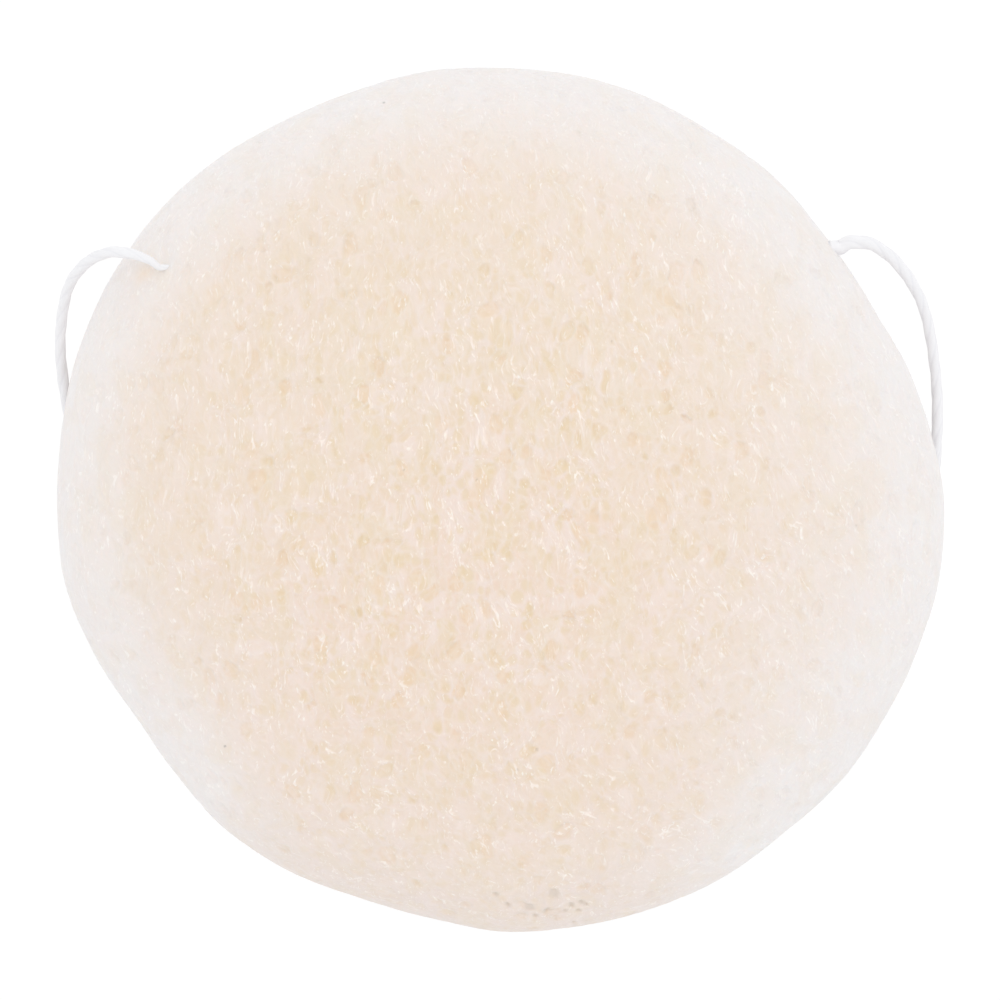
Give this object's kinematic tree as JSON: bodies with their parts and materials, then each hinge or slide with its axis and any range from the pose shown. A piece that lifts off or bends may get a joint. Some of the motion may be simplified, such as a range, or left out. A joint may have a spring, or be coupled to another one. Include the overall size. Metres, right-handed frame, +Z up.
{
  "type": "konjac sponge",
  "caption": "Half-ball konjac sponge of soft porous foam, threaded on a cotton string that is knotted into a hanging loop tucked under its flat back.",
  "frame": {"origin": "on the table plane, under the middle of the sponge's bounding box", "axes": "+Z up from the flat back to the top of the dome, +Y towards the side that the string passes through, +X to the right as seen from above, along the string's hole"},
  "size_m": [0.0806, 0.0776, 0.0315],
  "materials": {
    "konjac_foam": "matte",
    "cotton_string": "matte"
  },
  "bodies": {
    "sponge": {"sponge_body": "konjac_foam"},
    "string_loop": {"string_inner_run": "cotton_string", "string_left_run": "cotton_string", "string_right_run": "cotton_string", "string_knot": "cotton_string", "string_tail_left": "cotton_string", "string_tail_right": "cotton_string"}
  },
  "joints": [
    {"name": "loop_swing", "type": "hinge", "parent": "sponge", "child": "string_loop", "pos_m": [0.00004, 0.02171, 0.01553], "axis": [0.9894, 0.0321, -0.1414], "range_deg": [0, 180]}
  ]
}
